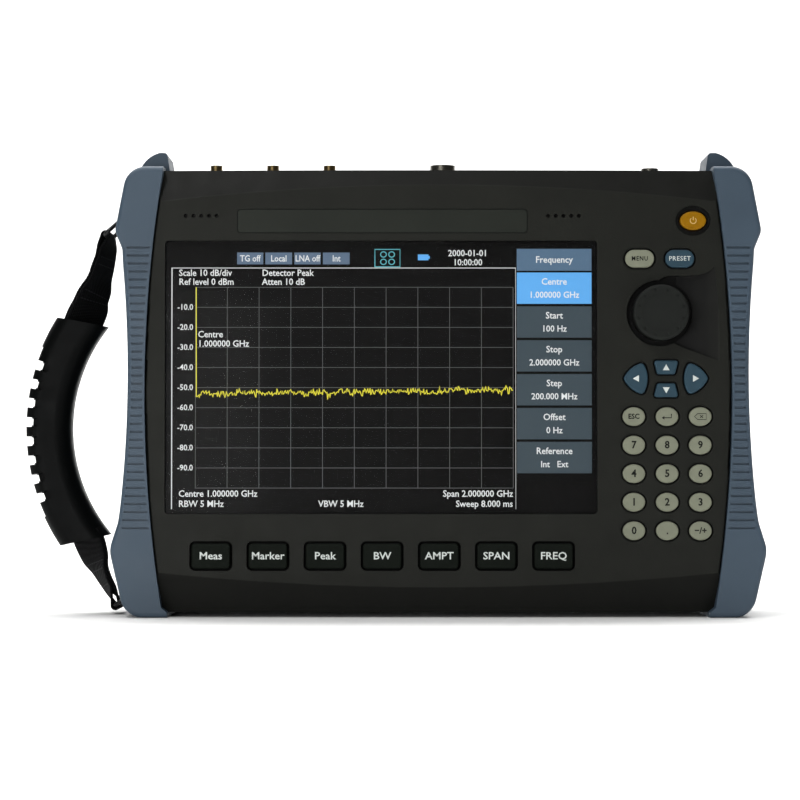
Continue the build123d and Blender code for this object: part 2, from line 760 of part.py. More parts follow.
with BuildPart() as sma_connectors:
    for x in sma_x:
        turned(x, (3.1, 208.5, plate_top), (4.0, plate_top + 2.2, plate_top + 3.0),
               (sma_thread_radius, plate_top + 3.0, sma_tip))
        with BuildSketch(Plane.XY.offset(plate_top)):
            with Locations((x, connector_y)):
                RegularPolygon(4.6, 6)
        extrude(amount=2.2)
        with BuildSketch(Plane.XY.offset(sma_tip)):
            with Locations((x, connector_y)):
                Circle(2.3)
                Circle(0.65, mode=Mode.SUBTRACT)
        extrude(amount=-3.5, mode=Mode.SUBTRACT)
save(sma_connectors, "sma_connectors")

with BuildPart() as interface_ports:
    for x in usb_x:
        block(x - 7, x + 7, connector_y - 3.6, connector_y + 3.6, 208, plate_top + 0.6)
        block(x - 6.2, x + 6.2, connector_y - 2.6, connector_y + 2.6, 210, plate_top + 1, mode=Mode.SUBTRACT)
        block(x - 5.5, x + 5.5, connector_y + 0.4, connector_y + 2.2, 210, plate_top)
save(interface_ports, "interface_ports")

with BuildPart() as power_inlet:
    turned(inlet_x, (4.5, 207, plate_top), (6.5, plate_top, plate_top + 2.5), (4.5, plate_top + 2.5, 232.5))
    with BuildSketch(Plane.XY.offset(232.5)):
        with Locations((inlet_x, connector_y)):
            Circle(2.9)
            Circle(1.0, mode=Mode.SUBTRACT)
    extrude(amount=-9, mode=Mode.SUBTRACT)
save(power_inlet, "power_inlet")

# ------------------------------------------------------------------ battery

with BuildPart() as battery_pack:
    block(-battery_half, battery_half, battery_front_y, battery_back_y, battery_z0, battery_z1)
    fillet(edges().filter_by(Axis.Z), radius=3)
save(battery_pack, "battery_pack")

with BuildPart() as battery_door:
    block(-door_x, door_x, rear_y - door_gauge, rear_y, door_z0, door_z1)
    fillet(edges().filter_by(Axis.Y), radius=1.5)
    with BuildSketch(at_y(rear_y)):
        with Locations(*door_screws_xz):
            Circle(3.1)
    extrude(amount=1.3, mode=Mode.SUBTRACT)
    with BuildSketch(at_y(rear_y)):
        with Locations(*door_screws_xz):
            Circle(screw_radius + 0.2)
    extrude(amount=door_gauge, mode=Mode.SUBTRACT)
    with BuildSketch(at_y(rear_y)):
        with Locations((0, (door_z0 + door_z1) / 2)):
            with GridLocations(0, 6, 1, 9):
                SlotOverall(70, 2)
    extrude(amount=0.6, mode=Mode.SUBTRACT)
save(battery_door, "battery_door")


def screws(points, seat_y, length, head_radius, head_height):
    """Round-headed screws driven from the back, heads seated at seat_y."""
    with BuildSketch(at_y(seat_y)) as shanks:
        with Locations(*points):
            Circle(screw_radius)
    extrude(shanks.sketch, amount=length)
    with BuildSketch(at_y(seat_y)) as heads:
        with Locations(*points):
            Circle(head_radius)
    extrude(heads.sketch, amount=-head_height)
    with BuildSketch(at_y(seat_y + head_height)) as crosses:
        with Locations(*points):
            Rectangle(head_radius * 1.3, 0.7)
            Rectangle(0.7, head_radius * 1.3)
    extrude(crosses.sketch, amount=head_height * 0.5, mode=Mode.SUBTRACT)


with BuildPart() as door_screws:
    screws(door_screws_xz, rear_y - 1.3, 9, 2.9, 1.1)
save(door_screws, "door_screws")

with BuildPart() as case_screws:
    screws(case_bosses, -8.0, 19, screw_head_radius, 2.4)
save(case_screws, "case_screws")

# ------------------------------------------------------------------ stand

with BuildPart() as kickstand:
    with BuildSketch(at_y(stand_pivot_y + stand_depth / 2)):
        with BuildLine():
            left, right = -stand_x - stand_bar / 2, stand_x + stand_bar / 2
            FilletPolyline((left, stand_pivot_z), (left, stand_bottom), (right, stand_bottom),
                           (right, stand_pivot_z), radius=5)
            Polyline((right, stand_pivot_z), (right - stand_bar, stand_pivot_z),
                     (right - stand_bar, stand_bottom + stand_bar), (left + stand_bar, stand_bottom + stand_bar),
                     (left + stand_bar, stand_pivot_z), (left, stand_pivot_z))
        make_face()
    extrude(amount=stand_depth)
    for side in (-1, 1):
        with BuildSketch(Plane(origin=(side * stand_x, stand_pivot_y, stand_pivot_z), z_dir=(1, 0, 0))):
            Circle(stand_depth / 2)
        extrude(amount=stand_bar / 2, both=True)
    for side in (-1, 1):
        with BuildSketch(Plane(origin=(side * stand_x, stand_pivot_y, stand_pivot_z), z_dir=(1, 0, 0))):
            Circle(stand_pin_radius + 0.06)
        extrude(amount=stand_bar, both=True, mode=Mode.SUBTRACT)
save(kickstand, "kickstand")

with BuildPart() as kickstand_pins:
    for side in (-1, 1):
        with BuildSketch(Plane(origin=(side * stand_x, stand_pivot_y, stand_pivot_z), z_dir=(1, 0, 0))):
            Circle(stand_pin_radius)
        extrude(amount=7.4, both=True)
save(kickstand_pins, "kickstand_pins")

# ------------------------------------------------------------------ hand strap

with BuildPart() as strap_pins:
    for side in (-1, 1):
        for recess_low, recess_high, pin_low, pin_high in strap_recesses:
            with BuildSketch(Plane.XY.offset(pin_low)):
                with Locations((side * strap_axis_x, 0)):
                    Circle(strap_pin_radius)
            extrude(amount=pin_high - pin_low)
save(strap_pins, "strap_pins")


def ring_plane(tilt, height):
    """A ring's own plane: local x points away from the case and down by tilt, local y points back."""
    outward = (-cos(radians(tilt)), 0, -sin(radians(tilt)))
    normal = (sin(radians(tilt)), 0, -cos(radians(tilt)))
    return Plane(origin=(strap_axis_x, 0, height), x_dir=outward, z_dir=normal)


rings = ((ring_plane(ring_tilt_top, ring_z_top), ring_reach_top),
         (ring_plane(ring_tilt_low, ring_z_low), ring_reach_low))

with BuildPart() as strap_rings:
    for plane, reach in rings:
        with BuildLine(plane) as wire:
            FilletPolyline((-4.6, 4.2), (reach, 15.8), (reach, -15.8), (-4.6, -4.2), radius=2.5, close=True)
        with BuildSketch(Plane(origin=wire.line @ 0, z_dir=wire.line % 0)):
            Circle(ring_wire)
        sweep(path=wire.line)
save(strap_rings, "strap_rings")

grip_plane = Plane(origin=(grip_x, 0, grip_z), x_dir=(-1, 0, 0), z_dir=(0, 1, 0))
grip_sweep = grip_top_angle - grip_low_angle


def ring_sector(inner, outer, low_angle, top_angle, slant=0.0):
    """Sector of a ring about the grip's centre. Slant widens its inner edge and narrows its outer edge."""
    with BuildSketch(Plane.XY) as sector:
        with BuildLine():
            near = CenterArc((0, 0), inner, low_angle - slant, top_angle - low_angle + 2 * slant)
            far = CenterArc((0, 0), outer, low_angle + slant, top_angle - low_angle - 2 * slant)
            Line(near @ 0, far @ 0)
            Line(near @ 1, far @ 1)
        make_face()
    return sector.sketch


grip_core = ring_sector(grip_inner, grip_outer, grip_low_angle, grip_top_angle, grip_end_slant)
tooth_relief = ring_sector(tooth_radius, grip_outer + 2, collar_low_angle, collar_top_angle)
mouth_inner, mouth_outer = grip_inner + mouth_wall, grip_outer - mouth_wall
mouths = (ring_sector(mouth_inner, mouth_outer, grip_top_angle - mouth_angle, grip_top_angle + 6),
          ring_sector(mouth_inner, mouth_outer, grip_low_angle - 6, grip_low_angle + mouth_angle))
groove_span = (groove_count - 1) * groove_pitch
groove_start = groove_middle - groove_span / 2
groove_reach = 2 * (grip_outer - groove_radius)
pocket_centre = groove_radius - groove_width / 2 + 0.6

with BuildPart() as strap_grip:
    with BuildSketch(grip_plane):
        add(grip_core)
    extrude(amount=grip_half_depth, both=True)
    long_edges = edges().filter_by(GeomType.CIRCLE).sort_by(SortBy.LENGTH)
    fillet(long_edges[-2:], radius=8)
    inner_edges = [edge for edge in edges().filter_by(GeomType.CIRCLE) if abs(edge.radius - grip_inner) < 0.1]
    fillet(inner_edges, radius=8.5)
    for mouth in mouths:
        with BuildSketch(grip_plane):
            add(mouth)
        extrude(amount=mouth_half_depth, both=True, mode=Mode.SUBTRACT)

    # teeth between the two collars, with a round pocket at both ends of each groove
    with BuildSketch(grip_plane):
        add(tooth_relief)
    extrude(amount=grip_half_depth + 1, both=True, mode=Mode.SUBTRACT)
    with Locations(grip_plane):
        with PolarLocations(grip_outer, groove_count, start_angle=groove_start, angular_range=groove_span,
                            endpoint=True):
            Box(groove_reach, groove_width, 40, mode=Mode.SUBTRACT)
    for side in (-1, 1):
        with Locations(grip_plane.offset(side * grip_half_depth)):
            with PolarLocations(pocket_centre, groove_count, start_angle=groove_start,
                                angular_range=groove_span, endpoint=True):
                Cylinder(groove_width / 2, 11, mode=Mode.SUBTRACT)
save(strap_grip, "strap_grip")


def grip_cut(angle):
    """Plane square to the grip's arc at the given angle, centred in its mouth: local x runs along Y."""
    turn, radius = radians(angle), (mouth_inner + mouth_outer) / 2
    origin = (grip_x - radius * cos(turn), 0, grip_z + radius * sin(turn))
    return Plane(origin=origin, x_dir=(0, 1, 0), z_dir=(sin(turn), 0, cos(turn)))


def webbing_cut(x, z, run_x):
    """Plane square to the webbing's run at a point: local x runs along Y."""
    return Plane(origin=(x, 0, z), x_dir=(0, 1, 0), z_dir=(run_x, 0, 1))


top_bar = (rings[0][0] * Location((ring_reach_top, 0, 0))).position
low_bar = (rings[1][0] * Location((ring_reach_low, 0, 0))).position

# each run turns from flat across the ring's bar to edge on in the grip's mouth:
# plane, size along Y, size across
upper_run = ((webbing_cut(top_bar.X + 0.6, top_bar.Z + 2.3, 0.27), 25.0, 6.0),
             (webbing_cut(-175.6, 182.0, 0.27), 23.0, 10.0),
             (webbing_cut(-182.4, 160.0, 0.4), 15.0, 18.5),
             (grip_cut(grip_top_angle + 2.5), 9.5, 15.5),
             (grip_cut(grip_top_angle - 5.0), 8.5, 14.0))
lower_run = ((webbing_cut(low_bar.X + 1.0, low_bar.Z - 1.85, -0.54), 22.0, 5.2),
             (webbing_cut(-177.6, 19.8, -0.54), 16.0, 13.0),
             (grip_cut(grip_low_angle - 2.5), 9.5, 15.5),
             (grip_cut(grip_low_angle + 5.0), 8.5, 14.0))

with BuildPart() as strap_webbing:
    for run in (upper_run, lower_run):
        for plane, wide, across in run:
            with BuildSketch(plane):
                RectangleRounded(wide, across, 2.0)
        loft(ruled=True)
    for bar in (top_bar, low_bar):
        with BuildSketch(Plane(origin=(bar.X, 0, bar.Z), z_dir=(0, 1, 0))):
            Circle(ring_wire + 0.1)
        extrude(amount=15, both=True, mode=Mode.SUBTRACT)
save(strap_webbing, "strap_webbing")
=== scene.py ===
from itertools import product
from math import cos, pi, radians, sin

import bmesh
import bpy
import numpy as np
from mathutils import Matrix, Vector


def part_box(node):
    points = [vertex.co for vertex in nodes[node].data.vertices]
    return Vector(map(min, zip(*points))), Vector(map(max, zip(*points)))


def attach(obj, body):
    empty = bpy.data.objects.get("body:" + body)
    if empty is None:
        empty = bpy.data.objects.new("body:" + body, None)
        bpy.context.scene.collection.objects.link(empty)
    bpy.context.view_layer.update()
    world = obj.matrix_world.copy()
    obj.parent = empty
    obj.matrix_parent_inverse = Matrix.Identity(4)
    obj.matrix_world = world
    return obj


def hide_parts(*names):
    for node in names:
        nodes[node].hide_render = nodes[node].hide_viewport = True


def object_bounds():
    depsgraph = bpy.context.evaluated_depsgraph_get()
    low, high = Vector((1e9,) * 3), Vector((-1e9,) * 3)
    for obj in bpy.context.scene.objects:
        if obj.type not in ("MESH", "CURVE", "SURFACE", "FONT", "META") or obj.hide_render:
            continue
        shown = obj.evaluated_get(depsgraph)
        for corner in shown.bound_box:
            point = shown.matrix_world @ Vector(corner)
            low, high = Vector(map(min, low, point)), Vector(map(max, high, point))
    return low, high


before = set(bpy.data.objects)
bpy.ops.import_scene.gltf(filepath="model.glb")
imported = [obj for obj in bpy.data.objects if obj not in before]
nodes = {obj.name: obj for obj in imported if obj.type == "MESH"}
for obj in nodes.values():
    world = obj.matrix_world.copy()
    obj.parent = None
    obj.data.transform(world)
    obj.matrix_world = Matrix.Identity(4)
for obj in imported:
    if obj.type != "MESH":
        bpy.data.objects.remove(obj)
cad_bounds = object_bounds()
scene = bpy.context.scene
MM = 0.001


# ------------------------------------------------------------------ materials

def linear(*srgb):
    """Colour in the renderer's linear light, given as screen values from 0 to 255."""
    return tuple(((c / 255 + 0.055) / 1.055) ** 2.4 if c > 10 else c / 255 / 12.92 for c in srgb) + (1.0,)


class Finish:
    """A procedural material in the making: one Principled shader and object coordinates."""

    def __init__(self, name, roughness, **sockets):
        self.material = bpy.data.materials.new(name)
        self.material.use_nodes = True
        self.tree = self.material.node_tree
        self.shader = self.tree.nodes["Principled BSDF"]
        self.shader.inputs["Roughness"].default_value = roughness
        for socket, value in sockets.items():
            self.shader.inputs[socket.replace("_", " ")].default_value = value
        self.coordinates = self.add("ShaderNodeTexCoord").outputs["Object"]
        self.height = None

    def add(self, kind, **settings):
        node = self.tree.nodes.new(kind)
        for key, value in settings.items():
            setattr(node, key, value)
        return node

    def link(self, source, target):
        self.tree.links.new(source, target)

    def noise(self, size, detail=3.0, roughness=0.55, stretch=(1, 1, 1)):
        """Noise whose features are about size metres across."""
        mapping = self.add("ShaderNodeMapping")
        mapping.inputs["Scale"].default_value = stretch
        self.link(self.coordinates, mapping.inputs["Vector"])
        noise = self.add("ShaderNodeTexNoise")
        noise.inputs["Scale"].default_value = 1.0 / size
        noise.inputs["Detail"].default_value = detail
        noise.inputs["Roughness"].default_value = roughness
        self.link(mapping.outputs["Vector"], noise.inputs["Vector"])
        return noise.outputs["Fac"]

    def ramp(self, factor, stops):
        """Colour ramp through the given (position, colour) stops."""
        ramp = self.add("ShaderNodeValToRGB")
        elements = ramp.color_ramp.elements
        for index, (position, colour) in enumerate(stops):
            element = elements[index] if index < 2 else elements.new(position)
            element.position, element.color = position, colour
        self.link(factor, ramp.inputs["Fac"])
        return ramp.outputs["Color"]

    def spread(self, factor, low, high, start=0.3, end=0.7):
        """Maps a factor onto the range low to high."""
        spread = self.add("ShaderNodeMapRange")
        for socket, value in zip(("From Min", "From Max", "To Min", "To Max"), (start, end, low, high)):
            spread.inputs[socket].default_value = value
        self.link(factor, spread.inputs["Value"])
        return spread.outputs["Result"]

    def colour(self, socket):
        self.link(socket, self.shader.inputs["Base Color"])

    def roughness(self, socket):
        self.link(socket, self.shader.inputs["Roughness"])

    def bump(self, factor, depth, strength=1.0):
        """Adds a layer of relief, depth metres high."""
        bump = self.add("ShaderNodeBump")
        bump.inputs["Distance"].default_value = depth
        bump.inputs["Strength"].default_value = strength
        self.link(factor, bump.inputs["Height"])
        if self.height is not None:
            self.link(self.height, bump.inputs["Normal"])
        self.height = bump.outputs["Normal"]
        self.link(self.height, self.shader.inputs["Normal"])


def shade(colour, factor):
    """The colour made lighter or darker, with full alpha."""
    return tuple(min(c * factor, 1.0) for c in colour[:3]) + (1.0,)


def moulded(name, colour, roughness, grain=0.0005, relief=0.00006, blotch=0.03, contrast=0.12, shine=0.3,
            depths=(), zone=None, **sockets):
    """Moulded plastic or rubber: spark-eroded grain, slow colour drift and rubbed patches.

    Depths are (y in millimetres, factor) stops: painted shade darkens the colour in recesses and towards
    the back.
    Outside the zone, low and high z in millimetres, they stop at their second factor.
    """
    finish = Finish(name, roughness, Specular_IOR_Level=shine, **sockets)
    drift = finish.noise(blotch, detail=5)
    colours = finish.ramp(drift, [(0.3, shade(colour, 1 - contrast)), (0.5, colour),
                                  (0.72, shade(colour, 1 + contrast))])
    # painted shade: the colour darkens with depth behind the front face
    if depths:
        split = finish.add("ShaderNodeSeparateXYZ")
        finish.link(finish.coordinates, split.inputs["Vector"])
        front, back = depths[0][0], depths[-1][0]
        along = finish.spread(split.outputs["Y"], 0.0, 1.0, front * MM, back * MM)
        if zone:
            limit = finish.add("ShaderNodeMath", operation="MINIMUM")
            limit.inputs[1].default_value = (depths[1][0] - front) / (back - front)
            finish.link(along, limit.inputs[0])
            height = finish.spread(split.outputs["Z"], 0.0, 1.0, 0.0, 2 * zone[1] * MM)
            fade = 2
            edges = [(z / 2 / zone[1], (f, f, f, 1)) for z, f in
                     ((zone[0], 0), (zone[0] + fade, 1), (zone[1] - fade, 1), (zone[1], 0))]
            select = finish.add("ShaderNodeMix")
            finish.link(finish.ramp(height, edges), select.inputs["Factor"])
            finish.link(limit.outputs["Value"], select.inputs["A"])
            finish.link(along, select.inputs["B"])
            along = select.outputs["Result"]
        painted_shade = finish.ramp(along, [((y - front) / (back - front), (f, f, f, 1)) for y, f in depths])
        mix = finish.add("ShaderNodeMix", data_type="RGBA", blend_type="MULTIPLY")
        mix.inputs["Factor"].default_value = 1.0
        finish.link(colours, mix.inputs["A"])
        finish.link(painted_shade, mix.inputs["B"])
        colours = mix.outputs["Result"]
    finish.colour(colours)
    rubbed = finish.noise(blotch * 0.4, detail=6)
    finish.roughness(finish.spread(rubbed, roughness - 0.06, roughness + 0.07))
    if relief:
        finish.bump(finish.noise(grain, detail=2), relief)
    return finish.material


def metal(name, colour, roughness, stretch=(1, 1, 1), relief=0.00001):
    """Plated or machined metal with fine turning or brushing marks."""
    finish = Finish(name, roughness, Metallic=1.0)
    marks = finish.noise(0.0006, detail=4, stretch=stretch)
    tarnish = finish.noise(0.008)
    finish.colour(finish.ramp(tarnish, [(0.3, shade(colour, 0.86)), (0.7, shade(colour, 1.08))]))
    finish.roughness(finish.spread(marks, roughness - 0.05, roughness + 0.1))
    finish.bump(marks, relief)
    return finish.material


def woven(name, colour, roughness):
    """Polyester webbing: diagonal bands for the weave, and fine fibres over them."""
    finish = Finish(name, roughness, Sheen_Weight=0.08, Sheen_Roughness=0.5, Specular_IOR_Level=0.1)
    finish.shader.inputs["Sheen Tint"].default_value = linear(70, 72, 76)
    wave = finish.add("ShaderNodeTexWave", wave_type="BANDS", bands_direction="DIAGONAL")
    wave.inputs["Scale"].default_value = 330
    wave.inputs["Distortion"].default_value = 1.2
    finish.link(finish.coordinates, wave.inputs["Vector"])
    finish.colour(finish.ramp(wave.outputs["Fac"], [(0.1, shade(colour, 0.45)), (0.8, shade(colour, 1.3))]))
    finish.bump(finish.noise(0.0003, detail=3), 0.00008)
    finish.bump(wave.outputs["Fac"], 0.00025)
    return finish.material


def lamp(name, colour, strength):
    """A lit part of the display, with the faint unevenness of its backlight."""
    finish = Finish(name, 0.5, Base_Color=shade(colour, 0.3), Emission_Strength=strength)
    glow = finish.ramp(finish.noise(0.05), [(0.2, shade(colour, 0.93)), (0.8, colour)])
    finish.link(glow, finish.shader.inputs["Emission Color"])
    return finish.material


def clear_glass(name):
    """Hard-coated cover glass: almost clear, with a soft reflection."""
    finish = Finish(name, 0.06, Base_Color=linear(16, 18, 20), Alpha=0.12, IOR=1.5, Specular_IOR_Level=0.05)
    finish.roughness(finish.spread(finish.noise(0.02), 0.05, 0.09))
    finish.material.surface_render_method = "BLENDED"
    return finish.material


# painted shade: darkening with depth behind the front faces, as (y in millimetres, factor)
KEY_SHADE_DEPTHS = ((-38.2, 1.0), (-37.6, 0.03))
PANEL_SHADE_DEPTHS = ((-37.97, 1.0), (-37.8, 0.45), (-37.0, 0.4), (-36.5, 0.2), (-34.0, 0.03))
# z range in millimetres outside which the panel's painted shade stops at its second factor
PANEL_ZONE = (15, 212)
# painted shade: the panel darkens on its bevelled bands, in its recesses and round its openings
PANEL = moulded("panel_grain_and_painted_shade", linear(28, 29, 25), 0.5, grain=0.00045, relief=0.00007, shine=0.14,
                depths=PANEL_SHADE_DEPTHS, zone=PANEL_ZONE)
CASE = moulded("case_grain", linear(27, 28, 27), 0.52, grain=0.0005, relief=0.00008, shine=0.14)
# painted shade: the bumper darkens in its rib grooves and towards the back
BUMPER = moulded("bumper_rubber", linear(62, 77, 91), 0.5, grain=0.0004, relief=0.00004, blotch=0.05,
                 contrast=0.10, shine=0.35, depths=((-39.7, 1.0), (-39.0, 0.92), (40.0, 0.78)))
# painted shade: the knob darkens in its dish and dimples and down its sides
KNOB = moulded("knob_rubber", linear(28, 30, 28), 0.6, grain=0.0003, relief=0.00003, shine=0.12,
               depths=((-46.4, 1.0), (-45.9, 0.5), (-38.0, 0.2)))
# painted shade: the keys darken down their sides into their openings
BEIGE = moulded("beige_silicone", linear(127, 130, 112), 0.62, relief=0.00002, blotch=0.004, contrast=0.06,
                depths=KEY_SHADE_DEPTHS)
BLUE = moulded("blue_silicone", linear(37, 64, 78), 0.58, relief=0.00002, blotch=0.004, contrast=0.06,
               depths=KEY_SHADE_DEPTHS)
BLACK_KEY = moulded("black_silicone", linear(14, 19, 14), 0.6, relief=0.00002, blotch=0.006, shine=0.08,
                    depths=KEY_SHADE_DEPTHS)
# painted shade: the power key darkens down its sides into its dish
ORANGE = moulded("amber_silicone", linear(146, 102, 4), 0.42, relief=0.00002, blotch=0.003, contrast=0.08,
                 shine=0.12, depths=((-36.6, 1.0), (-36.0, 0.05)))
PLATE = moulded("name_plate_film", linear(33, 36, 31), 0.45, grain=0.0003, relief=0.00002, shine=0.15)
GRIP = moulded("grip_rubber", linear(5, 6, 6), 0.42, grain=0.0006, relief=0.00006, blotch=0.02, shine=0.06)
DARK = moulded("display_black", linear(20, 19, 18), 0.4, relief=0.0, shine=0.1)
BOARD = moulded("solder_mask", linear(20, 84, 48), 0.35, blotch=0.008, relief=0.00003)
BATTERY = moulded("battery_sleeve", linear(30, 30, 33), 0.4)
STAND = moulded("stand_nylon", linear(34, 34, 35), 0.6, grain=0.0006)
TOP_PLATE = moulded("powder_coat", linear(34, 34, 35), 0.55, grain=0.0004, relief=0.00006)
STEEL = metal("zinc_steel", linear(150, 152, 155), 0.35)
SCREW = metal("black_steel", linear(78, 78, 80), 0.4)
SHIELD = metal("milled_aluminium", linear(190, 190, 192), 0.38, stretch=(1, 6, 1))
NICKEL = metal("bright_nickel", linear(118, 115, 106), 0.25, stretch=(1, 1, 8))
GOLD = metal("gold_plate", linear(128, 110, 74), 0.28, stretch=(1, 1, 8))
RING = moulded("ring_lacquer", linear(14, 14, 15), 0.3, relief=0.0)
WEBBING = woven("webbing_weave", linear(7, 7, 8), 0.9)
THREAD = moulded("bonded_thread", linear(26, 26, 28), 0.7, relief=0.0, shine=0.15)
GLASS = clear_glass("cover_glass")
# dark print on the keys; also the painted shade of the seam round the name plate
INK_DARK_AND_SEAM_SHADE = moulded("dark_print_and_seam_shade", linear(22, 24, 22), 0.6, relief=0.0, shine=0.1)
INK_LIGHT = moulded("light_print", linear(214, 220, 216), 0.5, relief=0.0)
INK_CREAM = moulded("cream_print", linear(214, 180, 110), 0.5, relief=0.0)

DIGIT_KEYS = [f"key_{digit}" for digit in (7, 8, 9, 4, 5, 6, 1, 2, 3, 0)]
KEYPAD = DIGIT_KEYS + ["key_point", "key_sign", "key_escape", "key_enter", "key_backspace"]
SOFT_LABELS = ("Meas", "Marker", "Peak", "BW", "AMPT", "SPAN", "FREQ")
SOFT_KEYS = [f"soft_key_{i + 1}" for i in range(len(SOFT_LABELS))]
QUARTER_TURNS = {"arrow_up_key": 0, "arrow_down_key": 2, "arrow_left_key": 1, "arrow_right_key": 3}

dress = {
    PANEL: ["front_panel"], CASE: ["rear_case", "battery_door"], BUMPER: ["left_bumper", "right_bumper"],
    KNOB: ["tuning_knob"], BEIGE: ["menu_key", "keypad_membrane"] + KEYPAD,
    BLUE: ["preset_key"] + list(QUARTER_TURNS), BLACK_KEY: SOFT_KEYS, ORANGE: ["power_button"],
    PLATE: ["name_plate"],
    GRIP: ["strap_grip"], DARK: ["lcd_module", "speakers"], BOARD: ["keypad_board", "main_board"],
    BATTERY: ["battery_pack"], STAND: ["kickstand"], TOP_PLATE: ["top_plate"],
    STEEL: ["lcd_bracket", "encoder_shaft", "rotary_encoder"],
    SCREW: ["door_screws", "case_screws", "kickstand_pins", "strap_pins"], SHIELD: ["rf_module"],
    NICKEL: ["rf_input_connector", "interface_ports", "power_inlet"],
    GOLD: ["sma_connectors"],
    RING: ["strap_rings"], WEBBING: ["strap_webbing"], GLASS: ["screen_glass"],
}
for material, names in dress.items():
    for name in names:
        mesh = nodes[name].data
        mesh.materials.clear()
        mesh.materials.append(material)


# ------------------------------------------------------------------ piece helpers

def piece(name, mesh, material, body, smooth=False):
    """A new object on a CAD body, with its material."""
    obj = bpy.data.objects.new(name, mesh)
    scene.collection.objects.link(obj)
    mesh.materials.clear()
    mesh.materials.append(material)
    mesh.polygons.foreach_set("use_smooth", [smooth] * len(mesh.polygons))
    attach(obj, body)
    return obj


def mesh_from(bm, name):
    """A mesh with outward normals; it uses the bmesh up."""
    mesh = bpy.data.meshes.new(name)
    bmesh.ops.recalc_face_normals(bm, faces=bm.faces)
    bm.to_mesh(mesh)
    bm.free()
    return mesh


def slab(bm, x0, x1, z0, z1, y_front, y_back):
    """Closed box along the axes, all in millimetres."""
    centre = Vector(((x0 + x1) / 2, (y_front + y_back) / 2, (z0 + z1) / 2)) * MM
    made = bmesh.ops.create_cube(bm, size=1.0)
    size = Vector((x1 - x0, y_back - y_front, z1 - z0)) * MM
    for vertex in made["verts"]:
        vertex.co = Vector((vertex.co.x * size.x, vertex.co.y * size.y, vertex.co.z * size.z)) + centre


def prism(bm, outline, y_front, y_back):
    """Closed flat plate with the given outline of (x, z) points in millimetres."""
    front = [bm.verts.new(Vector((x, y_front, z)) * MM) for x, z in outline]
    back = [bm.verts.new(Vector((x, y_back, z)) * MM) for x, z in outline]
    bm.faces.new(front)
    bm.faces.new(list(reversed(back)))
    for i in range(len(outline)):
        j = (i + 1) % len(outline)
        bm.faces.new((front[i], front[j], back[j], back[i]))


def stroke(bm, points, width, y_front, y_back):
    """Ribbon along a polyline of (x, z) points in millimetres: a closed prism for each segment."""
    points = [Vector((x, z)) for x, z in points]
    left, right = [], []
    for i, p in enumerate(points):
        before, after = points[max(i - 1, 0)], points[min(i + 1, len(points) - 1)]
        along = (after - before).normalized()
        across = Vector((-along.y, along.x)) * width / 2
        left.append(p + across)
        right.append(p - across)
    for i in range(len(points) - 1):
        segment = (left[i], left[i + 1], right[i + 1], right[i])
        prism(bm, [tuple(p) for p in segment], y_front, y_back)


def lettering(name, words, size, x, z, y, material, body, slot, bold=0.0, align="CENTER",
              squeeze=1.0, depth=0.04, spacing=1.0):
    """Raised print facing the front, in millimetres; y is the surface that it stands on."""
    curve = bpy.data.curves.new(name, "FONT")
    curve.body = words
    curve.size = size * MM
    curve.align_x = align
    curve.align_y = "CENTER"
    curve.extrude = depth / 2 * MM
    curve.offset = bold * MM
    curve.resolution_u = 2
    curve.space_character = spacing
    source = bpy.data.objects.new(name + "_source", curve)
    scene.collection.objects.link(source)
    bpy.context.view_layer.update()
    mesh = bpy.data.meshes.new_from_object(source)
    bpy.data.objects.remove(source)
    co = np.empty(len(mesh.vertices) * 3)
    mesh.vertices.foreach_get("co", co)
    co = co.reshape(-1, 3)
    place = np.column_stack((co[:, 0] * squeeze + x * MM,
                             (y - depth / 2) * MM - co[:, 2],
                             co[:, 1] + z * MM))
    mesh.vertices.foreach_set("co", place.ravel())
    return piece(name, mesh, material, body)


def front_centre(node):
    """Middle of a node's front face as x, y and z in millimetres."""
    low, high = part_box(node)
    return (low.x + high.x) / 2 / MM, low.y / MM, (low.z + high.z) / 2 / MM


# ------------------------------------------------------------------ painted shade on the seam round the name plate

PLATE_CORNER, LINE_INSET, LINE_WIDTH, LINE_HALF_DEPTH = 2.0, 0.2, 0.35, 0.02
low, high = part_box("name_plate")
plate_left, plate_right = low.x / MM + PLATE_CORNER, high.x / MM - PLATE_CORNER
plate_low, plate_top = low.z / MM + PLATE_CORNER, high.z / MM - PLATE_CORNER
plate_face = low.y / MM
edge_line = []
for x, z, start in ((plate_right, plate_top, 0), (plate_left, plate_top, 90),
                    (plate_left, plate_low, 180), (plate_right, plate_low, 270)):
    radius = PLATE_CORNER - LINE_INSET
    edge_line += [(x + radius * cos(radians(a)), z + radius * sin(radians(a)))
                  for a in range(start, start + 91, 15)]
# painted shade: a dark line drawn where the seam round the name plate is shaded
bm = bmesh.new()
stroke(bm, edge_line + edge_line[:1], LINE_WIDTH, plate_face - LINE_HALF_DEPTH,
       plate_face + LINE_HALF_DEPTH)
piece("name_plate_seam_shade", mesh_from(bm, "name_plate_seam_shade"), INK_DARK_AND_SEAM_SHADE, "case")


# ------------------------------------------------------------------ print on the keys

MARK_DEPTH = 0.04


def key_print(node, words, size, material, slot, **style):
    """Words across the middle of a key, size millimetres high."""
    x, y, z = front_centre(node)
    lettering(node + "_print", words, size, x, z, y, material, node, slot, depth=MARK_DEPTH, **style)


